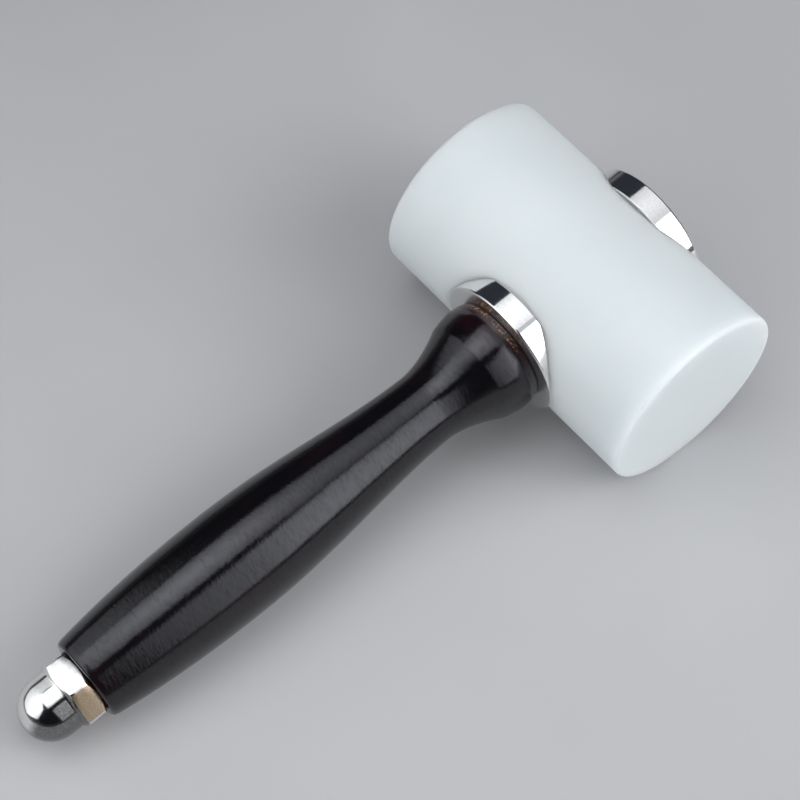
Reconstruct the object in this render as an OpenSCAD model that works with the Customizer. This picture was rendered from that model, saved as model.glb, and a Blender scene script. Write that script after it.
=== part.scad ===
// Carving mallet: a nylon head on a turned handle, drawn together by one rod
// and a cap nut. It lies on its side, as it does on a bench: the head rests on
// its own curve, the handle rests on its belly, and the floor is z = 0.
// Every turned piece is drawn about the rod's line. "Station" is the distance
// along that line from the head's centre: plus towards the top collar, minus
// towards the butt.

/* [Head] */
// Diameter of the nylon bar that the head is cut from
head_d = 52; // [46:1:58]
// Length of the head, from one striking face to the other
head_len = 85; // [70:1:100]
// Radius of the rounded edge round each striking face
head_edge = 1; // [0.4:0.1:3]
// Depth of the round collar seats below the head's crown
seat_depth = 6.5; // [5:0.1:9]

/* [Collars] */
// Diameter of both steel collars
collar_d = 37.6; // [34:0.2:42]
// Thickness of both steel collars
collar_t = 6.2; // [4:0.2:9]
// Width of the bevel round each collar's outer face, across the face
collar_bevel_w = 0.9; // [0.3:0.1:1.5]
// Depth of that bevel, down the collar's side
collar_bevel_h = 0.4; // [0.2:0.1:1.2]
// Bevel round the face of each collar that sits in the head
collar_seat_bevel = 0.3; // [0.1:0.1:0.6]

/* [Handle] */
// Length of the handle, from the collar to the butt
handle_len = 130.5; // [110:0.5:160]
// Diameter of the bell at its edge, where it is widest
bell_d = 30.1; // [28:0.1:32]
// Distance of the bell's edge from the collar
edge_at = 1.6; // [1:0.1:3]
// How far the bell is turned in from its edge to the collar
turn_in = 1.3; // [0.5:0.1:2]
// Distance of the bell's shoulder from the collar
shoulder_at = 10.3; // [7:0.1:13]
// How far the bell falls in from its edge to its shoulder
shoulder_fall = 1.1; // [0.5:0.05:1.5]
// Diameter of the waist below the bell
waist_d = 19.1; // [17:0.1:22]
// Distance of the waist from the collar
waist_at = 24.5; // [20:0.1:32]
// Diameter of the belly
belly_d = 27.8; // [24:0.1:31]
// Distance of the belly from the collar
belly_at = 85.2; // [60:0.2:95]
// Diameter of the butt, where the nut seats
butt_d = 21.8; // [21:0.1:26]
// Radius of the butt's edge
butt_edge = 1; // [0.4:0.1:1.5]

/* [Rod] */
// Outside diameter of the rod and of its threads
rod_d = 10; // [8:0.5:10]
// Thread pitch
thread_pitch = 1.5; // [1:0.25:1.5]
// Length of thread below the rod's top end
top_thread_len = 8; // [5:0.5:12]
// Length of thread at the nut's end of the rod
nut_thread_len = 24; // [18:0.5:30]
// Thread that the nut holds when it is tight
nut_grip = 11; // [8:0.5:12]
// Bevel on both ends of the rod
rod_bevel = 0.8; // [0.4:0.1:1]
// How far the rod's top end lies below the top collar's face
rod_recess = 0.3; // [0.1:0.1:0.8]
// Diameter of the lathe's centre mark in the rod's top end
centre_mark_d = 3; // [2:0.25:4]

/* [Cap nut] */
// Width of the hexagon across its flats
nut_flats = 17; // [17:0.5:20]
// Height of the hexagon
nut_hex_h = 6.6; // [5:0.2:8]
// Height of the whole nut
nut_h = 18; // [17.5:0.5:24]
// Diameter of the dome
dome_d = 16; // [15:0.5:16.5]
// Depth of the nut's blind hole
nut_hole_depth = 13; // [12:0.5:14]
// Bevel at the mouth of the nut's hole
nut_mouth_bevel = 0.5; // [0.2:0.1:0.8]
// Width of the round flat at each end of the hexagon, as a share of its flats
nut_face_share = 0.97; // [0.9:0.01:0.98]
// Slope of the bevel from that flat to the hexagon's corners, in degrees
nut_bevel_slope = 36; // [25:1:50]
// How far the tight nut happens to be turned, in degrees
nut_turn = 26; // [0:1:59]

/* [Fits] */
// Room all round the rod in the collar, head and handle
rod_gap = 0.1; // [0.05:0.01:0.1]
// Room all round each collar in its seat
seat_gap = 0.15; // [0.1:0.05:0.4]
// Room all round the thread crests in the nut and the top collar
thread_gap = 0.05; // [0.02:0.01:0.1]

/* [Hidden] */
$fn = 96;

// Stations of the faces, outwards from the head's centre
head_r = head_d / 2;
collar_r = collar_d / 2;
seat_at = head_r - seat_depth;
collar_face_at = seat_at + collar_t;
butt_at = collar_face_at + handle_len;
rod_top_at = collar_face_at - rod_recess;
rod_end_at = butt_at + nut_grip;
nut_top_at = butt_at + nut_h;

// Radii
rod_r = rod_d / 2;
bell_r = bell_d / 2;
bell_face_r = bell_r - turn_in;
shoulder_r = bell_r - shoulder_fall;
waist_r = waist_d / 2;
belly_r = belly_d / 2;
butt_r = butt_d / 2;
dome_r = dome_d / 2;
nut_corner_r = nut_flats / sqrt(3);
nut_face_r = nut_face_share * nut_flats / 2;

// Depth and crest of a metric thread, as shares of its pitch
depth_share = 0.6134;
crest_share = 0.125;
thread_root_r = rod_r - depth_share * thread_pitch;
crest_width = crest_share * thread_pitch;

// The handle's outline, as a radius at a distance from the collar. The bell
// rolls over to its shoulder, the neck drops from there to the waist, the grip
// swells to the belly and then falls to the butt, faster and faster.
bell_roll = 2.2;
neck_drop = 1.7;
grip_swell = 0.92;
butt_fall = 2.2;
function bell_curve(t) = bell_r - shoulder_fall * pow(t, bell_roll);
function neck_curve(t) = waist_r + (shoulder_r - waist_r) * pow(1 - t, neck_drop);
function grip_curve(t) = waist_r + (belly_r - waist_r) * pow(sin(90 * pow(t, grip_swell)), 2);
function tail_curve(t) = belly_r - (belly_r - butt_r) * pow(t, butt_fall);
function handle_r(d) =
    d <= edge_at ? bell_r :
    d < shoulder_at ? bell_curve((d - edge_at) / (shoulder_at - edge_at)) :
    d < waist_at ? neck_curve((d - shoulder_at) / (waist_at - shoulder_at)) :
    d < belly_at ? grip_curve((d - waist_at) / (belly_at - waist_at)) :
    tail_curve((d - belly_at) / (handle_len - belly_at));

// Distances from the collar at which the outline has a point
bell_steps = 12;
neck_steps = 16;
grip_steps = 32;
tail_steps = 24;
outline_at = concat(
    [for (i = [0 : bell_steps - 1]) edge_at + (shoulder_at - edge_at) * i / bell_steps],
    [for (i = [0 : neck_steps - 1]) shoulder_at + (waist_at - shoulder_at) * i / neck_steps],
    [for (i = [0 : grip_steps - 1]) waist_at + (belly_at - waist_at) * i / grip_steps],
    [for (i = [0 : tail_steps - 1])
        belly_at + (handle_len - butt_edge - belly_at) * i / (tail_steps - 1)]);

// The lean at which the handle comes down to the floor. At each station the
// lean would be asin(head_r / reach) - atan(r / station); the first point to
// touch has the smallest.
function touch_lean(at, r) = asin(head_r / norm([at, r])) - atan2(r, at);
lean = min(concat(
    [for (d = outline_at) touch_lean(collar_face_at + d, handle_r(d))],
    [touch_lean(butt_at + nut_hex_h, nut_corner_r)]));

// Half of the way between the leaning mallet's two ends, seen from above
high_x = collar_face_at * cos(lean) + (collar_r - collar_bevel_w) * sin(lean);
low_x = -(nut_top_at - dome_r) * cos(lean) - dome_r;
centre_x = (high_x + low_x) / 2;

// How far a cutting shape runs past the surface that it cuts
over = 1;

// Puts what is drawn about the rod's line, with +z towards the top collar,
// into its resting place on the floor
module lay_down() {
    translate([-centre_x, 0, head_r])
        rotate([0, 90 - lean, 0])
            children();
}

// A straight hole along the rod's line, from one station to another
module hole(r, from, to) {
    translate([0, 0, from])
        cylinder(r = r, h = to - from);
}

// One steel disc, with its seat face at station 0 and its outer face at collar_t
module collar_disc(hole_r) {
    difference() {
        rotate_extrude()
            polygon([
                [0, 0],
                [collar_r - collar_seat_bevel, 0],
                [collar_r, collar_seat_bevel],
                [collar_r, collar_t - collar_bevel_h],
                [collar_r - collar_bevel_w, collar_t],
                [0, collar_t]]);
        hole(hole_r, -over, collar_t + over);
    }
}

// A round bar with a rounded edge at both ends, standing on z = 0
module rounded_bar(r, h, edge) {
    rotate_extrude() {
        square([r - edge, h]);
        translate([0, edge])
            square([r, h - 2 * edge]);
        for (z = [edge, h - edge])
            translate([r - edge, z])
                circle(r = edge);
    }
}

// Thread drawn as one ring to each pitch: corners of its outline from the
// station where it starts, going towards plus
function ring_points(start, rings) = [
    for (i = [0 : rings - 1])
        for (p = [
            [thread_root_r, crest_width / 2],
            [rod_r, thread_pitch / 2 - crest_width / 2],
            [rod_r, thread_pitch / 2 + crest_width / 2],
            [thread_root_r, thread_pitch - crest_width / 2]])
            [p[0], start + i * thread_pitch + p[1]]];

module nylon_head() {
    color([0.85, 0.88, 0.89])
        lay_down()
            difference() {
                rotate([90, 0, 0])
                    translate([0, 0, -head_len / 2])
                        rounded_bar(head_r, head_len, head_edge);
                hole(rod_r + rod_gap, -head_r - over, head_r + over);
                for (side = [0, 1])
                    mirror([0, 0, side])
                        hole(collar_r + seat_gap, seat_at, head_r + over);
            }
}

module top_collar() {
    color([0.80, 0.81, 0.82])
        lay_down()
            translate([0, 0, seat_at])
                collar_disc(rod_r + thread_gap);
}

module handle_collar() {
    color([0.80, 0.81, 0.82])
        lay_down()
            mirror([0, 0, 1])
                translate([0, 0, seat_at])
                    collar_disc(rod_r + rod_gap);
}

module handle() {
    color([0.09, 0.07, 0.08])
        lay_down()
            mirror([0, 0, 1])
                translate([0, 0, collar_face_at])
                    difference() {
                        handle_body();
                        hole(rod_r + rod_gap, -over, handle_len + over);
                    }
}

// The handle's turned outside, with the bell at z = 0 and the butt at handle_len
module handle_body() {
    rotate_extrude() {
        polygon(concat(
            [[0, 0], [bell_face_r, 0]],
            [for (d = outline_at) [handle_r(d), d]],
            [[0, handle_len - butt_edge]]));
        translate([0, handle_len - 2 * butt_edge])
            square([butt_r - butt_edge, 2 * butt_edge]);
        translate([butt_r - butt_edge, handle_len - butt_edge])
            circle(r = butt_edge);
    }
}

module tie_rod() {
    top_rings = floor((top_thread_len - rod_bevel) / thread_pitch);
    nut_rings = floor((nut_thread_len - rod_bevel) / thread_pitch);
    top_rings_start = rod_top_at - rod_bevel - top_rings * thread_pitch;
    nut_rings_start = -rod_end_at + rod_bevel;
    color([0.74, 0.75, 0.77])
        lay_down()
            difference() {
                rotate_extrude()
                    polygon(concat(
                        [[0, -rod_end_at], [rod_r - rod_bevel, -rod_end_at]],
                        ring_points(nut_rings_start, nut_rings),
                        [[rod_r, nut_rings_start + nut_rings * thread_pitch + rod_bevel]],
                        [[rod_r, top_rings_start - rod_bevel]],
                        ring_points(top_rings_start, top_rings),
                        [[rod_r - rod_bevel, rod_top_at], [0, rod_top_at]]));
                translate([0, 0, rod_top_at - centre_mark_d / 2])
                    cylinder(r1 = 0, r2 = centre_mark_d / 2 + over, h = centre_mark_d / 2 + over);
            }
}

// The hexagon with both ends bevelled, from its seat at z = 0
module bevelled_hexagon() {
    bevel_h = (nut_corner_r - nut_face_r) * tan(nut_bevel_slope);
    intersection() {
        cylinder(r = nut_corner_r, h = nut_hex_h, $fn = 6);
        rotate_extrude()
            polygon([
                [0, 0],
                [nut_face_r, 0],
                [nut_corner_r, bevel_h],
                [nut_corner_r, nut_hex_h - bevel_h],
                [nut_face_r, nut_hex_h],
                [0, nut_hex_h]]);
    }
}

module cap_nut() {
    mouth_r = rod_r + thread_gap;
    color([0.82, 0.83, 0.84])
        lay_down()
            mirror([0, 0, 1])
                translate([0, 0, butt_at])
                    rotate([0, 0, nut_turn])
                        difference() {
                            union() {
                                bevelled_hexagon();
                                translate([0, 0, nut_hex_h / 2])
                                    cylinder(r = dome_r, h = nut_h - dome_r - nut_hex_h / 2);
                                translate([0, 0, nut_h - dome_r])
                                    sphere(r = dome_r);
                            }
                            hole(mouth_r, -over, nut_hole_depth);
                            translate([0, 0, -over])
                                cylinder(
                                    r1 = mouth_r + nut_mouth_bevel + over,
                                    r2 = mouth_r,
                                    h = nut_mouth_bevel + over);
                        }
}

nylon_head();
top_collar();
handle_collar();
handle();
tie_rod();
cap_nut();
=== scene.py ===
"""Looks of the carving mallet: a nylon head between two polished steel collars on a
lacquered wooden handle, drawn together by a rod and a cap nut.

Every turned piece is made about its own x axis, which runs from the head's centre
towards the butt, and is then laid along the rod. Lengths are in metres.
"""

import math

import bmesh
import bpy
from mathutils import Matrix, Vector, noise


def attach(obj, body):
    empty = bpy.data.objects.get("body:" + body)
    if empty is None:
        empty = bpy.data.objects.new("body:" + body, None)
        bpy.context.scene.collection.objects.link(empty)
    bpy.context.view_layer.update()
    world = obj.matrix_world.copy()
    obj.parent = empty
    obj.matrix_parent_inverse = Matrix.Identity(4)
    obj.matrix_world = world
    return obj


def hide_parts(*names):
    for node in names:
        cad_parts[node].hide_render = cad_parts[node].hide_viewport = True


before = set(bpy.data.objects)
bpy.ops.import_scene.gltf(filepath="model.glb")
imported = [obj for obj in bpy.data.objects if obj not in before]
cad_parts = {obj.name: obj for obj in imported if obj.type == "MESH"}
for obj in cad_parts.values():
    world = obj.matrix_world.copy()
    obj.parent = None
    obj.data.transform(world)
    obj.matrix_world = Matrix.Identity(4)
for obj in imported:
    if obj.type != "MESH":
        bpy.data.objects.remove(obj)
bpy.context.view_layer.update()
MM = 0.001

# Places and sizes, as the CAD has them
LEAN = math.radians(5.44282)
HEAD_CENTRE = Vector((73.0843, 0.0, 26.0)) * MM
HEAD_R = 26.0
HEAD_LEN = 85.0
HEAD_EDGE = 1.0
SEAT_AT = 19.5
SEAT_R = 18.84
COLLAR_R = 18.8
COLLAR_T = 6.2
COLLAR_FACE = 25.7
COLLAR_EDGE = 0.55
TAPPED_R = 5.05
HANDLE_LEN = 130.5
BUTT_AT = COLLAR_FACE + HANDLE_LEN
BORE_R = 5.1
BELL_R = 15.05
EDGE_AT = 1.6
SHOULDER_AT = 10.3
SHOULDER_FALL = 1.1
# The bell's soft edge: where its roll starts and how fast it deepens, and a lip
ROLL_AT = 4.8
ROLL_DEPTH = 0.0455
LIP_AT = 0.5
LIP_DEPTH = 0.28
WAIST_R = 9.55
WAIST_AT = 24.5
BELLY_R = 13.9
BELLY_AT = 85.2
BUTT_R = 10.9
NUT_FLATS = 17.0
NUT_HEX_H = 6.6
NUT_FACE_R = 8.245
NUT_BEVEL_SLOPE = 36.0
NUT_TURN = 26.0
NUT_H = 18.0
NUT_CORNER = 0.62
NUT_SOFT = 0.07
NUT_HOLE_R = 5.05
NUT_HOLE_DEPTH = 13.0
DOME_R = 8.0

# The photograph's camera: its focal length and picture width in pixels, the turns of
# its back, and its place from the head's centre along its right, top and back
FOCAL_PX = 2330.757
PICTURE_PX = 800.0
SENSOR = 36.0
CAMERA_TURNS = (-42.8879317, 59.8393604, 2.4776525)
CAMERA_PLACE = (-44.2009407, -28.1609155, 587.0957726)

TOWARDS_TOP = Vector((math.cos(LEAN), 0.0, math.sin(LEAN)))
ALONG = -TOWARDS_TOP
SIDE = Vector((0.0, 1.0, 0.0))
UP = ALONG.cross(SIDE)
# Columns: the piece's own x, y and z axes in the row frame
ROD_LINE = Matrix((
    (ALONG.x, SIDE.x, UP.x, HEAD_CENTRE.x),
    (ALONG.y, SIDE.y, UP.y, HEAD_CENTRE.y),
    (ALONG.z, SIDE.z, UP.z, HEAD_CENTRE.z),
    (0.0, 0.0, 0.0, 1.0)))


# Meshes
def add_object(name, mesh, body, replaces, material):
    """Lays a mesh that was made about its own x axis along the rod."""
    mesh.transform(ROD_LINE)
    piece = bpy.data.objects.new(name, mesh)
    bpy.context.scene.collection.objects.link(piece)
    mesh.materials.clear()
    mesh.materials.append(material)
    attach(piece, body)
    if replaces:
        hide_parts(replaces)
    return piece


def turned_mesh(name, outline, segments, dent=None, sharp=35.0):
    """Revolves (x, r) points, in millimetres, about the x axis. A closed outline
    makes a ring. dent(x, angle, r) gives how far a point is moved in."""
    bm = bmesh.new()
    rings = []
    for x, r in outline:
        ring = []
        for i in range(segments):
            a = 2 * math.pi * i / segments
            rr = r - (dent(x, a, r) if dent else 0.0)
            ring.append(bm.verts.new((x * MM, rr * math.cos(a) * MM,
                                      rr * math.sin(a) * MM)))
        rings.append(ring)
    for k in range(len(rings)):
        one, two = rings[k], rings[(k + 1) % len(rings)]
        for i in range(segments):
            j = (i + 1) % segments
            bm.faces.new((one[i], one[j], two[j], two[i]))
    bmesh.ops.recalc_face_normals(bm, faces=bm.faces)
    return finish_mesh(name, bm, sharp)


def finish_mesh(name, bm, sharp):
    for face in bm.faces:
        face.smooth = True
    for edge in bm.edges:
        if len(edge.link_faces) == 2 and edge.calc_face_angle(0.0) > math.radians(sharp):
            edge.smooth = False
    mesh = bpy.data.meshes.new(name)
    bm.to_mesh(mesh)
    bm.free()
    return mesh


def arc(cx, cr, radius, start, end, steps):
    """Points of a quarter round, angles in degrees from +x towards +r."""
    return [(cx + radius * math.cos(math.radians(start + (end - start) * i / steps)),
             cr + radius * math.sin(math.radians(start + (end - start) * i / steps)))
            for i in range(steps + 1)]


def line(a, b, steps):
    return [(a[0] + (b[0] - a[0]) * i / steps, a[1] + (b[1] - a[1]) * i / steps)
            for i in range(1, steps)]


# Node helpers
class Nodes:
    """A short way to write a node tree."""

    def __init__(self, tree):
        self.tree = tree
        self.tree.nodes.clear()
        self.rod_line = None

    def link(self, source, target):
        self.tree.links.new(source, target)

    def put(self, socket, value):
        if isinstance(value, bpy.types.NodeSocket):
            self.tree.links.new(value, socket)
        else:
            socket.default_value = value

    def node(self, kind, **values):
        n = self.tree.nodes.new(kind)
        for key, value in values.items():
            self.put(n.inputs[key], value)
        return n

    def place(self, scale=(1, 1, 1)):
        """Coordinates along the rod in millimetres: x towards the butt, y along the
        head, z down, all from the head's centre; stretched by scale."""
        if not self.rod_line:
            coord = self.tree.nodes.new("ShaderNodeTexCoord")
            back = ROD_LINE.inverted()
            mapping = self.tree.nodes.new("ShaderNodeMapping")
            mapping.inputs["Scale"].default_value = (1000, 1000, 1000)
            mapping.inputs["Rotation"].default_value = back.to_euler()
            mapping.inputs["Location"].default_value = back.translation * 1000
            self.link(coord.outputs["Object"], mapping.inputs["Vector"])
            self.rod_line = mapping.outputs[0]
        if scale == (1, 1, 1):
            return self.rod_line
        mapping = self.tree.nodes.new("ShaderNodeMapping")
        mapping.inputs["Scale"].default_value = scale
        self.link(self.rod_line, mapping.inputs["Vector"])
        return mapping.outputs[0]

    def noise(self, where, scale, detail=4.0, rough=0.55, distort=0.0):
        n = self.node("ShaderNodeTexNoise", Scale=scale, Detail=detail, Roughness=rough,
                      Distortion=distort)
        self.link(where, n.inputs["Vector"])
        return n.outputs["Fac"]

    def ramp(self, fac, stops):
        n = self.tree.nodes.new("ShaderNodeValToRGB")
        ramp = n.color_ramp
        while len(ramp.elements) < len(stops):
            ramp.elements.new(0.5)
        for element, (at, colour) in zip(ramp.elements, stops):
            element.position = at
            element.color = (*colour, 1.0)
        self.put(n.inputs["Fac"], fac)
        return n.outputs["Color"]

    def math(self, op, a, b=0.0, c=None):
        n = self.tree.nodes.new("ShaderNodeMath")
        n.operation = op
        self.put(n.inputs[0], a)
        self.put(n.inputs[1], b)
        if c is not None:
            self.put(n.inputs[2], c)
        return n.outputs[0]

    def span(self, value, low, high, to_low=0.0, to_high=1.0):
        """Goes softly from to_low to to_high as the value goes from low to high."""
        n = self.tree.nodes.new("ShaderNodeMapRange")
        n.interpolation_type = "SMOOTHSTEP"
        self.put(n.inputs["Value"], value)
        n.inputs["From Min"].default_value = low
        n.inputs["From Max"].default_value = high
        n.inputs["To Min"].default_value = to_low
        n.inputs["To Max"].default_value = to_high
        return n.outputs["Result"]

    def mix(self, fac, a, b):
        n = self.tree.nodes.new("ShaderNodeMix")
        n.data_type = "RGBA"
        self.put(n.inputs[0], fac)
        for socket, value in ((n.inputs[6], a), (n.inputs[7], b)):
            if isinstance(value, tuple) and len(value) == 3:
                value = (*value, 1.0)
            self.put(socket, value)
        return n.outputs[2]

    def bump(self, height, distance, strength=1.0, normal=None):
        n = self.tree.nodes.new("ShaderNodeBump")
        self.put(n.inputs["Strength"], strength)
        n.inputs["Distance"].default_value = distance
        self.put(n.inputs["Height"], height)
        if normal is not None:
            self.link(normal, n.inputs["Normal"])
        return n.outputs[0]

    def joined(self, x, y, z):
        n = self.tree.nodes.new("ShaderNodeCombineXYZ")
        for socket, value in zip(n.inputs, (x, y, z)):
            self.put(socket, value)
        return n.outputs[0]

    def xyz(self, where):
        n = self.tree.nodes.new("ShaderNodeSeparateXYZ")
        self.link(where, n.inputs[0])
        return n.outputs

    def product(self, one, two):
        return self.math("MULTIPLY", one, two)

    def distance(self, one, two):
        """Length of the vector with these two parts."""
        return self.math("SQRT", self.math("ADD", self.product(one, one),
                                           self.product(two, two)))


class Looks(Nodes):
    """A new material's node tree, with its one shader."""

    def __init__(self, name):
        self.material = bpy.data.materials.new(name)
        self.material.use_nodes = True
        super().__init__(self.material.node_tree)
        out = self.tree.nodes.new("ShaderNodeOutputMaterial")
        self.shader = self.tree.nodes.new("ShaderNodeBsdfPrincipled")
        self.link(self.shader.outputs[0], out.inputs["Surface"])

    def set(self, **values):
        for key, value in values.items():
            self.put(self.shader.inputs[key.replace("_", " ")], value)


# Materials
def nylon_material():
    m = Looks("nylon_milky")
    where = m.place()
    cloud = m.noise(where, 0.05, 3.0, 0.5)
    colour = m.ramp(cloud, [(0.3, (0.630, 0.674, 0.678)), (0.7, (0.654, 0.694, 0.697))])
    scratch = m.noise(m.place(scale=(3.0, 0.15, 3.0)), 1.0, 5.0, 0.7)
    fine = m.noise(where, 2.5, 4.0, 0.6)
    rough = m.span(fine, 0.3, 0.7, 0.36, 0.48)
    n = m.bump(scratch, 0.00002, 0.30)
    n = m.bump(fine, 0.00003, 0.30, n)
    m.set(Base_Color=colour, Roughness=rough, Normal=n)
    m.shader.inputs["IOR"].default_value = 1.50
    m.shader.inputs["Subsurface Weight"].default_value = 0.95
    m.shader.inputs["Subsurface Radius"].default_value = (1.0, 1.1, 1.15)
    m.shader.inputs["Subsurface Scale"].default_value = 0.009
    return m.material


def steel_material(name, colour, rough, ring_bump=0.00001, rim=None):
    """Turned and polished: fine rings about the rod, and a faint mottle. Inside the
    rim's radius the faces are less polished."""
    m = Looks(name)
    where = m.place()
    x, y, z = m.xyz(where)
    radius = m.distance(y, z)
    rings = m.noise(m.joined(m.product(x, 5.0), m.product(radius, 5.0), 0.0),
                    1.0, 3.0, 0.7)
    fine = m.noise(where, 1.3, 5.0, 0.65)
    shade = m.mix(m.span(fine, 0.35, 0.7), colour, tuple(c * 0.93 for c in colour))
    roughness = m.span(fine, 0.3, 0.8, rough * 0.8, rough * 1.5)
    if rim:
        inner = m.span(radius, rim - 0.8, rim - 0.5, 0.27, 0.0)
        roughness = m.math("MAXIMUM", roughness, inner)
    n = m.bump(rings, ring_bump, 0.5)
    m.set(Base_Color=shade, Roughness=roughness, Normal=n)
    m.shader.inputs["Metallic"].default_value = 1.0
    return m.material


def nut_material():
    """Polished dome and corners; the hexagon's flats are only ground, and so duller. The
    flats on the -y side carry a painted warm brown reflection, and the dome carries
    painted dark reflections low down and on the -y side."""
    m = Looks("polished_nut_steel")
    where = m.place()
    x, y, z = m.xyz(where)
    radius = m.distance(y, z)
    past = m.span(x, BUTT_AT + NUT_HEX_H - 1.0, BUTT_AT + NUT_HEX_H - 0.8)
    bright_part = m.math("MAXIMUM", past, m.span(radius, 9.50, 9.66))
    fine = m.noise(where, 1.6, 5.0, 0.65)
    grit = m.noise(where, 4.5, 4.0, 0.7)
    # painted warm brown reflection, laid on the ground flats of the -y side
    painted_reflection_mask = m.product(m.span(y, -3.2, -5.0), m.span(fine, 0.2, 0.6, 0.8, 1.0))
    ground = m.mix(m.span(grit, 0.35, 0.65), (0.88, 0.87, 0.85), (0.80, 0.79, 0.77))
    # colours of the painted brown reflection on those flats
    painted_brown_reflection = m.mix(m.span(grit, 0.40, 0.60), (0.70, 0.545, 0.39), (0.51, 0.385, 0.25))
    ground = m.mix(painted_reflection_mask, ground, painted_brown_reflection)
    bright = m.mix(m.span(fine, 0.35, 0.7), (0.88, 0.885, 0.87), (0.82, 0.825, 0.81))
    # painted dark reflections: the dome is made darker low down and on the -y side
    # painted dark reflection of the floor on the dome's lower part
    low = m.span(m.math("ADD", z, m.product(fine, 1.2)), -2.8, -0.6)
    bright = m.mix(m.product(low, past), bright, (0.45, 0.45, 0.437))
    # painted dark reflection: the dome is made much darker on the -y side
    away = m.product(m.span(y, -1.0, -4.0), m.span(fine, 0.2, 0.6, 0.75, 1.0))
    bright = m.mix(m.product(away, past), bright, (0.19, 0.19, 0.186))
    rough_flat = m.span(grit, 0.3, 0.7, 0.22, 0.32)
    rough_bright = m.span(fine, 0.3, 0.8, 0.09, 0.16)
    roughness = m.math("MULTIPLY_ADD", bright_part,
                       m.math("SUBTRACT", rough_bright, rough_flat), rough_flat)
    n = m.bump(grit, 0.00002, m.span(bright_part, 0.0, 1.0, 0.45, 0.06))
    m.set(Base_Color=m.mix(bright_part, ground, bright), Roughness=roughness, Normal=n)
    m.shader.inputs["Metallic"].default_value = 1.0
    return m.material


def wood_material():
    m = Looks("lacquered_dark_wood")
    where = m.place()
    x, y, z = m.xyz(where)
    from_face = m.math("SUBTRACT", x, COLLAR_FACE)
    # near-black stain over a red-brown wood, with long grain and dark pores
    grain = m.noise(m.place(scale=(0.045, 1.1, 1.1)), 1.0, 6.0, 0.7, 0.6)
    pores = m.noise(m.place(scale=(0.12, 3.0, 3.0)), 1.0, 4.0, 0.7)
    patch = m.noise(m.place(scale=(0.04, 0.09, 0.09)), 1.0, 3.0, 0.6)
    base = m.ramp(grain, [(0.30, (0.0020, 0.0018, 0.0024)),
                          (0.60, (0.0036, 0.0029, 0.0038)),
                          (0.80, (0.0070, 0.0042, 0.0052))])
    base = m.mix(m.product(m.span(patch, 0.54, 0.68), 0.40), base,
                 (0.0105, 0.0040, 0.0052))
    base = m.mix(m.span(pores, 0.62, 0.75), base, (0.0022, 0.0018, 0.0022))
    # the bell is redder, and its edge is rubbed through to the bare wood in specks
    ragged = m.noise(m.place(scale=(1.0, 0.6, 0.6)), 1.0, 5.0, 0.65)
    red = m.span(m.math("ADD", from_face, m.product(ragged, 4.0)), 7.0, 11.5, 1.0, 0.0)
    far_side = m.span(m.math("SUBTRACT", m.product(y, 0.8), z), 8.0, 15.0, 0.25, 1.0)
    blotch = m.span(m.noise(where, 0.35, 4.0, 0.65), 0.40, 0.58)
    red = m.product(m.product(red, far_side), m.math("MULTIPLY_ADD", blotch, 0.7, 0.3))
    base = m.mix(red, base, (0.0140, 0.0030, 0.0054))
    haze = m.span(m.math("ADD", from_face, m.product(ragged, 1.6)), 2.4, 3.6, 1.0, 0.0)
    base = m.mix(m.product(haze, 0.8), base, (0.0170, 0.0078, 0.0078))
    speck = m.noise(where, 1.7, 3.0, 0.75)
    edge = m.math("ABSOLUTE", m.math("SUBTRACT", from_face, 1.10))
    # most on the side that the thumb rubs
    rubbed = m.span(m.math("ADD", z, m.product(y, -0.15)), -14.5, -9.0, 1.0, 0.0)
    bare = m.product(m.span(edge, 0.45, 0.95, 1.0, 0.0), rubbed)
    worn = m.product(bare, m.span(speck, 0.545, 0.60))
    base = m.mix(m.product(worn, 0.9), base, (0.50, 0.215, 0.075))
    # small pale dents in the lacquer
    dust = m.noise(m.place(scale=(0.5, 0.9, 0.9)), 1.3, 2.0, 0.9)
    base = m.mix(m.product(m.span(dust, 0.76, 0.80), 0.5), base, (0.060, 0.055, 0.060))
    m.set(Base_Color=base)
    # the lacquer is finely streaked across the grip, where it was rubbed down, and
    # lies in long soft waves
    marks = m.noise(m.joined(m.math("MULTIPLY_ADD", y, 0.35, m.product(x, 1.5)),
                             m.product(y, 0.45), m.product(z, 0.45)),
                    1.0, 5.0, 0.7, 0.4)
    cross = m.noise(m.joined(m.math("MULTIPLY_ADD", y, -0.25, m.product(x, 0.7)),
                             m.product(y, 0.28), m.product(z, 0.28)),
                    1.0, 4.0, 0.65, 0.3)
    swell = m.noise(m.place(scale=(0.10, 0.14, 0.14)), 1.0, 2.0, 0.5)
    n = m.bump(marks, 0.00006, 0.75)
    n = m.bump(cross, 0.00006, 0.60, n)
    n = m.bump(swell, 0.0008, 0.06, n)
    streak = m.math("MULTIPLY_ADD", marks, 0.6, m.product(cross, 0.4))
    rough = m.span(streak, 0.40, 0.62, 0.06, 0.12)
    rough = m.math("MAXIMUM", rough, m.product(haze, 0.26))
    rough = m.math("MAXIMUM", rough, m.product(worn, 0.65))
    m.set(Roughness=rough, Normal=n)
    gloss = m.span(streak, 0.36, 0.64, 1.14, 0.82)
    m.set(Specular_Tint=m.mix(gloss, (0.0, 0.0, 0.0), (0.93, 0.94, 1.0)))
    m.shader.inputs["IOR"].default_value = 1.56
    return m.material


def floor_material():
    m = Looks("pale_floor")
    where = m.place()
    soft = m.noise(where, 0.012, 3.0, 0.5)
    m.set(Base_Color=m.ramp(soft, [(0.35, (0.425, 0.425, 0.43)),
                                   (0.65, (0.445, 0.445, 0.45))]))
    m.shader.inputs["Roughness"].default_value = 0.85
    m.shader.inputs["Specular IOR Level"].default_value = 0.25
    return m.material


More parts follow.
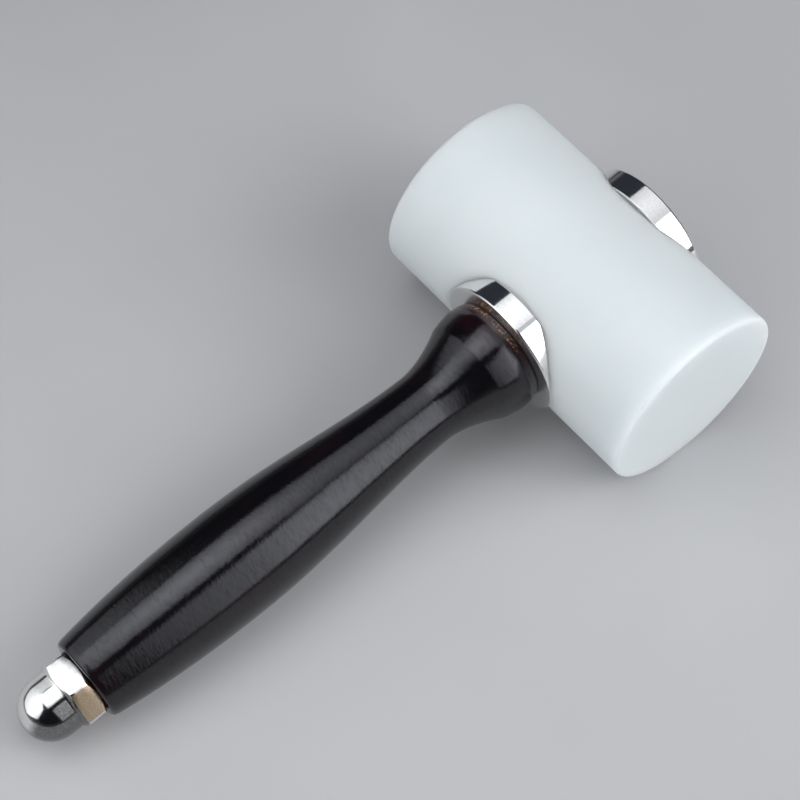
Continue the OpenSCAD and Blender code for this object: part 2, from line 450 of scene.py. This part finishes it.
NYLON = nylon_material()
COLLAR_STEEL = steel_material("polished_collar_steel", (0.94, 0.94, 0.935), 0.085,
                              rim=COLLAR_R)
NUT_STEEL = nut_material()
ROD_STEEL = steel_material("bright_rod_steel", (0.52, 0.52, 0.52), 0.25, 0.00003)
WOOD = wood_material()


# Handle
def handle_radius(d):
    """The handle's outline at a distance from the collar, as in the CAD, but with the
    bell rolled over softly towards its edge."""
    if d < LIP_AT:
        return handle_radius(LIP_AT) - LIP_DEPTH * (1 - d / LIP_AT) ** 1.5
    if d < SHOULDER_AT:
        roll = ROLL_DEPTH * max(0.0, ROLL_AT - d) ** 2
        fall = SHOULDER_FALL * (max(0.0, d - EDGE_AT) / (SHOULDER_AT - EDGE_AT)) ** 2.2
        return BELL_R + 0.1 * min(1.0, (SHOULDER_AT - d) / 5.5) - roll - fall
    if d < WAIST_AT:
        drop = (1 - (d - SHOULDER_AT) / (WAIST_AT - SHOULDER_AT)) ** 1.7
        return WAIST_R + (BELL_R - SHOULDER_FALL - WAIST_R) * drop
    if d < BELLY_AT:
        turn = 90 * ((d - WAIST_AT) / (BELLY_AT - WAIST_AT)) ** 0.92
        return WAIST_R + (BELLY_R - WAIST_R) * math.sin(math.radians(turn)) ** 2
    return BELLY_R - (BELLY_R - BUTT_R) * ((d - BELLY_AT) / (HANDLE_LEN - BELLY_AT)) ** 2.2


def handle_dent(x, a, r):
    """Hand-finished surface: long shallow waves, a few hundredths of a millimetre."""
    d = x - COLLAR_FACE
    if r < BORE_R + 0.5 or d < 0.1 or d > HANDLE_LEN - 1.0:
        return 0.0
    p = Vector((d * 0.035, math.cos(a) * 1.1, math.sin(a) * 1.1))
    q = Vector((d * 0.16, math.cos(a) * 2.6, math.sin(a) * 2.6))
    return min(1.0, d / 2) * (0.045 + 0.035 * noise.noise(p) + 0.010 * noise.noise(q))


def make_handle():
    face = COLLAR_FACE
    end = BUTT_AT
    lip = handle_radius(0.0)
    outline = [(face, BORE_R)] + line((face, BORE_R), (face, lip - 0.2), 6)
    outline += [(face, lip - 0.2), (face + 0.05, lip - 0.06),
                (face + 0.16, handle_radius(0.16))]
    d = 0.35
    while d < HANDLE_LEN - 1.0:
        outline.append((face + d, handle_radius(d)))
        d += 0.18 if d < 2 else 0.25 if d < 26 else 0.5
    outline += arc(end - 1.0, BUTT_R - 1.0, 1.0, 85, 0, 8)
    outline += line((end, BUTT_R - 1.0), (end, BORE_R), 5)
    outline += [(end, BORE_R)]
    outline += line((end, BORE_R), (face, BORE_R), 12)
    mesh = turned_mesh("turned_handle", outline, 192, handle_dent, 50)
    return add_object("turned_handle", mesh, "grip", "handle", WOOD)


# Collars
def make_collar(name, node, body, sign, hole_r):
    """sign is 1 for the collar next to the handle and -1 for the top one."""
    seat, face = SEAT_AT, SEAT_AT + COLLAR_T
    outline = [(seat, hole_r)] + line((seat, hole_r), (seat, COLLAR_R - 0.3), 5)
    outline += [(seat, COLLAR_R - 0.3), (seat + 0.1, COLLAR_R - 0.18),
                (seat + 0.3, COLLAR_R)]
    outline += line((seat + 0.3, COLLAR_R), (face - 0.62, COLLAR_R), 6)
    outline += [(face - 0.62, COLLAR_R)]
    outline += arc(face - COLLAR_EDGE, COLLAR_R - COLLAR_EDGE, COLLAR_EDGE, 88, 2, 10)
    outline += line((face, COLLAR_R - 0.6), (face, hole_r + 0.3), 8)
    outline += [(face, hole_r + 0.3), (face - 0.3, hole_r)]
    outline += line((face - 0.3, hole_r), (seat, hole_r), 4)
    outline = [(sign * x, r) for x, r in outline]
    mesh = turned_mesh(name, outline, 256, None, 30)
    return add_object(name, mesh, body, node, COLLAR_STEEL)


# Head
def make_head():
    """A bar about its own x axis, along +Y of the row, with the seats cut in."""
    half, inner = HEAD_LEN / 2, HEAD_R - HEAD_EDGE
    face_rings = (3, 6, 9, 12, 15, 18, 21, 23.5)
    outline = [(-half, 0.0)] + [(-half, r) for r in face_rings]
    outline += arc(-half + HEAD_EDGE, inner, HEAD_EDGE, 180, 90, 8)
    outline += line((-half + HEAD_EDGE, HEAD_R), (half - HEAD_EDGE, HEAD_R), 40)
    outline += arc(half - HEAD_EDGE, inner, HEAD_EDGE, 90, 0, 8)
    outline += [(half, r) for r in reversed(face_rings)] + [(half, 0.0)]
    bm = bmesh.new()
    segments = 256
    turns = [2 * math.pi * i / segments for i in range(segments)]
    rings = []
    for x, r in outline:
        if r == 0.0:
            rings.append([bm.verts.new((0, x * MM, 0))])
            continue
        rings.append([bm.verts.new((r * math.cos(a) * MM, x * MM, r * math.sin(a) * MM))
                      for a in turns])
    for one, two in zip(rings, rings[1:]):
        for i in range(segments):
            j = (i + 1) % segments
            if len(one) == 1:
                bm.faces.new((one[0], two[j], two[i]))
            elif len(two) == 1:
                bm.faces.new((one[i], one[j], two[0]))
            else:
                bm.faces.new((one[i], one[j], two[j], two[i]))
    bmesh.ops.recalc_face_normals(bm, faces=bm.faces)
    mesh = bpy.data.meshes.new("nylon_cylinder")
    bm.to_mesh(mesh)
    bm.free()
    # the mesh's x axis is the rod's line here too, so that the cutters are simple
    head = bpy.data.objects.new("nylon_cylinder", mesh)
    bpy.context.scene.collection.objects.link(head)
    cutters = []
    for low, high, r, seg in ((SEAT_AT, 32, SEAT_R, 256), (-32, -SEAT_AT, SEAT_R, 256),
                              (-32, 32, BORE_R, 64)):
        bpy.ops.mesh.primitive_cylinder_add(
            vertices=seg, radius=r * MM, depth=(high - low) * MM,
            location=((low + high) / 2 * MM, 0, 0), rotation=(0, math.pi / 2, 0))
        cutter = bpy.context.object
        cutters.append(cutter)
        cut = head.modifiers.new("cut", "BOOLEAN")
        cut.operation = "DIFFERENCE"
        cut.solver = "EXACT"
        cut.object = cutter
    edge = head.modifiers.new("edge", "BEVEL")
    edge.width = 0.07 * MM
    edge.segments = 2
    edge.limit_method = "ANGLE"
    edge.angle_limit = math.radians(30)
    bpy.context.view_layer.update()
    done = bpy.data.meshes.new_from_object(head.evaluated_get(
        bpy.context.evaluated_depsgraph_get()))
    for o in [head] + cutters:
        bpy.data.objects.remove(o)
    bm = bmesh.new()
    bm.from_mesh(done)
    bmesh.ops.dissolve_degenerate(bm, dist=0.0002 * MM, edges=bm.edges)
    mesh = finish_mesh("nylon_cylinder", bm, 40)
    return add_object("nylon_cylinder", mesh, "head", "nylon_head", NYLON)


# Cap nut
# Half the angle of a flat, between the two rounded corners
FLAT_HALF = math.atan2((NUT_FLATS / 2 - NUT_CORNER) * math.tan(math.pi / 6), NUT_FLATS / 2)


def nut_side(a):
    """Distance of the hexagon's side from the axis, with rounded corners."""
    a = abs((a + math.pi / 6) % (math.pi / 3) - math.pi / 6)
    if a < FLAT_HALF:
        return NUT_FLATS / 2 / math.cos(a)
    # the corner lies at 30 degrees from the middle of a flat
    reach = (NUT_FLATS / 2 - NUT_CORNER) / math.cos(math.pi / 6)
    b = math.pi / 6 - a
    return reach * math.cos(b) + math.sqrt(NUT_CORNER ** 2 - (reach * math.sin(b)) ** 2)


def nut_outline(side):
    """Radius and distance from the butt, from the seating face to the dome's top, where
    the hexagon's side lies at this distance from the axis."""
    slope = math.tan(math.radians(NUT_BEVEL_SLOPE))
    rise = (side - NUT_FACE_R) * slope
    soft, high = NUT_SOFT, NUT_HEX_H
    inner = NUT_HOLE_R + 0.5
    outline = [(inner, 0.0)]
    outline += [(inner + (NUT_FACE_R - inner) * t, 0.0) for t in (0.3, 0.6, 0.95)]
    outline += [(NUT_FACE_R + 0.03, 0.012), (NUT_FACE_R + 0.12, 0.12 * slope)]
    outline += [(side - 1.6 * soft, rise - 1.6 * soft * slope),
                (side - 0.5 * soft, rise - 0.1 * soft)]
    outline += [(side, rise + soft + (high - 2 * rise - 2 * soft) * t)
                for t in (0, 0.33, 0.67)]
    outline += [(side, high - rise - soft), (side - 0.5 * soft, high - rise + 0.1 * soft)]
    outline += [(side - 1.6 * soft, high - rise + 1.6 * soft * slope)]
    outline += [(NUT_FACE_R + 0.12, high - 0.12 * slope), (NUT_FACE_R + 0.03, high - 0.012)]
    outline += [(DOME_R + 0.14, high), (DOME_R + 0.05, high + 0.02),
                (DOME_R + 0.01, high + 0.10)]
    top = NUT_H - DOME_R
    outline += [(DOME_R, high + 0.25 + (top - high - 0.25) * t) for t in (0, 0.33, 0.67)]
    outline += [(DOME_R * math.cos(b), top + DOME_R * math.sin(b))
                for b in (math.radians(90 * i / 32) for i in range(32))]
    return outline


def make_nut():
    bm = bmesh.new()

    def point(a, r, along):
        turn = a + math.radians(NUT_TURN)
        return bm.verts.new(((BUTT_AT + along) * MM, r * math.cos(turn) * MM,
                             -r * math.sin(turn) * MM))

    angles = []
    for flat in (k * math.pi / 3 for k in range(6)):
        angles += [flat - FLAT_HALF + 2 * FLAT_HALF * t for t in (0.0, 0.25, 0.5, 0.75, 0.95)]
        angles += [flat + FLAT_HALF + (math.pi / 3 - 2 * FLAT_HALF) * t / 9 for t in range(9)]
    columns = [[point(a, r, along) for r, along in nut_outline(nut_side(a))] for a in angles]
    rings = [list(ring) for ring in zip(*columns)]
    n = len(angles)
    tip = bm.verts.new(((BUTT_AT + NUT_H) * MM, 0, 0))
    inside = [[point(a, NUT_HOLE_R, along) for a in angles]
              for along in (0.5, 6.0, NUT_HOLE_DEPTH)]
    bottom = bm.verts.new(((BUTT_AT + NUT_HOLE_DEPTH) * MM, 0, 0))
    rings = inside[::-1] + rings
    for one, two in zip(rings, rings[1:]):
        for i in range(n):
            j = (i + 1) % n
            bm.faces.new((one[i], one[j], two[j], two[i]))
    for i in range(n):
        j = (i + 1) % n
        bm.faces.new((rings[-1][i], rings[-1][j], tip))
        bm.faces.new((rings[0][j], rings[0][i], bottom))
    bmesh.ops.recalc_face_normals(bm, faces=bm.faces)
    mesh = finish_mesh("domed_nut", bm, 50)
    return add_object("domed_nut", mesh, "nut", "cap_nut", NUT_STEEL)


make_handle()
make_collar("near_collar", "handle_collar", "grip", 1, BORE_R)
make_collar("far_collar", "top_collar", "head", -1, TAPPED_R)
make_head()
make_nut()
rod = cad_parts["tie_rod"].data
rod.materials.clear()
rod.materials.append(ROD_STEEL)


# Floor, light, camera
def make_floor():
    bm = bmesh.new()
    bmesh.ops.create_grid(bm, x_segments=8, y_segments=8, size=6.0)
    mesh = bpy.data.meshes.new("floor")
    bm.to_mesh(mesh)
    bm.free()
    floor = bpy.data.objects.new("floor", mesh)
    bpy.context.scene.collection.objects.link(floor)
    mesh.materials.append(floor_material())


def make_softbox(name, middle, right, up, width, height, peak, rim, hot, reach, trims=()):
    """A soft lamp, placed in millimetres from the head's centre, with its width along
    one direction and its height along the other. It is brightest at hot, an offset
    from its middle, and falls halfway to the rim's brightness at reach from there.
    Each (a, b, c) in trims leaves dark what lies beyond a * across + b * up = c."""
    middle, x, y = Vector(middle), Vector(right).normalized(), Vector(up)
    y = (y - y.dot(x) * x).normalized()
    z = x.cross(y)
    # a lamp shines along its own -z, so z points away from the head
    flip = -1.0 if z.dot(middle) < 0 else 1.0
    x, z = x * flip, z * flip
    data = bpy.data.lights.new(name, "AREA")
    data.shape = "RECTANGLE"
    data.size = width * MM
    data.size_y = height * MM
    data.energy = math.pi * data.size * data.size_y
    data.color = (0.96, 0.975, 1.0)
    data.use_nodes = True
    n = Nodes(data.node_tree)
    spot = n.tree.nodes.new("ShaderNodeNewGeometry")
    u, v, _ = n.xyz(spot.outputs["Parametric"])
    across = n.math("MULTIPLY_ADD", u, flip * width, -flip * width / 2)
    upward = n.math("MULTIPLY_ADD", v, height, -height / 2)
    away = 1.0
    for place, centre, far in ((across, hot[0], reach[0]), (upward, hot[1], reach[1])):
        step = n.math("MULTIPLY_ADD", place, 1 / far, -centre / far)
        away = n.math("MULTIPLY_ADD", step, step, away)
    strength = n.math("ADD", n.math("DIVIDE", peak - rim, away), rim)
    for a, b, c in trims:
        side = n.math("MULTIPLY_ADD", across, a, n.product(upward, b))
        strength = n.product(strength, n.math("LESS_THAN", side, c))
    shine = n.node("ShaderNodeEmission", Strength=strength)
    n.link(shine.outputs[0], n.tree.nodes.new("ShaderNodeOutputLight").inputs[0])
    lamp = bpy.data.objects.new(name, data)
    bpy.context.scene.collection.objects.link(lamp)
    stand = Matrix((x, y, z)).transposed().to_4x4()
    stand.translation = HEAD_CENTRE + middle * MM
    lamp.matrix_world = stand
    lamp.visible_camera = False
    return lamp


make_floor()
make_softbox("overhead_softbox", (-15, 90, 450), (1, 0, 0), (0, 1, 0), 640, 430,
             3.06, 0.20, (-135, -10), (176, 175))
make_softbox("bridge_softbox", (155, -163, 452), (1, 0, 0), (0, 1, 0), 270, 76,
             0.72, 0.26, (40, 0), (120, 150))
make_softbox("side_softbox", (47, -593, 357), (0.985, 0.129, 0.116), (-0.174, 0.734, 0.657),
             585, 822, 3.06, 0.34, (158, -65), (185, 700), ((-0.21, 1.0, 380),))
make_softbox("left_softbox", (-342, 113, 277), (396, 386, 0), (0, 0, 1), 553, 565,
             2.2, 0.0, (-60, 40), (220, 300),
             ((0.4, 1.0, 175), (0.38, -1.0, 305), (-0.52, -1.0, 300)))
# two lamps for the nylon, which are not seen in the polished pieces
fill = make_softbox("left_fill", (-640, -260, 200), (-0.37, 0.93, 0), (0, 0, 1),
                    500, 300, 3.0, 3.0, (0, 0), (500, 500))
fill.visible_glossy = False
fill = make_softbox("right_fill", (560, -560, 380), (0.82, 0.57, 0), (-0.174, 0.734, 0.657),
                    560, 700, 4.0, 4.0, (0, 0), (500, 500))
fill.visible_glossy = False

world = bpy.data.worlds.new("studio")
bpy.context.scene.world = world
world.use_nodes = True
sky = Nodes(world.node_tree)
coord = sky.tree.nodes.new("ShaderNodeTexCoord")
height = sky.xyz(coord.outputs["Generated"])[2]
# a dark room, a little lighter low down
room = sky.mix(sky.span(height, 0.05, 0.17), (0.13, 0.128, 0.127), (0.024, 0.028, 0.036))
shine = sky.node("ShaderNodeBackground", Color=room)
sky.link(shine.outputs[0], sky.tree.nodes.new("ShaderNodeOutputWorld").inputs["Surface"])

camera_data = bpy.data.cameras.new("photo_camera")
camera_data.sensor_width = SENSOR
camera_data.lens = FOCAL_PX * SENSOR / PICTURE_PX
camera_data.clip_start = 0.01
camera = bpy.data.objects.new("photo_camera", camera_data)
bpy.context.scene.collection.objects.link(camera)
azimuth, elevation, roll = (math.radians(v) for v in CAMERA_TURNS)
back = Vector((math.sin(azimuth) * math.cos(elevation),
               -math.cos(azimuth) * math.cos(elevation), math.sin(elevation)))
right = Vector((math.cos(azimuth), math.sin(azimuth), 0.0))
top = back.cross(right)
right, top = (math.cos(roll) * right + math.sin(roll) * top,
              -math.sin(roll) * right + math.cos(roll) * top)
view = Matrix((right, top, back)).transposed().to_4x4()
view.translation = HEAD_CENTRE + (CAMERA_PLACE[0] * right + CAMERA_PLACE[1] * top
                                  + CAMERA_PLACE[2] * back) * MM
camera.matrix_world = view
bpy.context.scene.camera = camera
bpy.context.scene.view_settings.view_transform = "Standard"
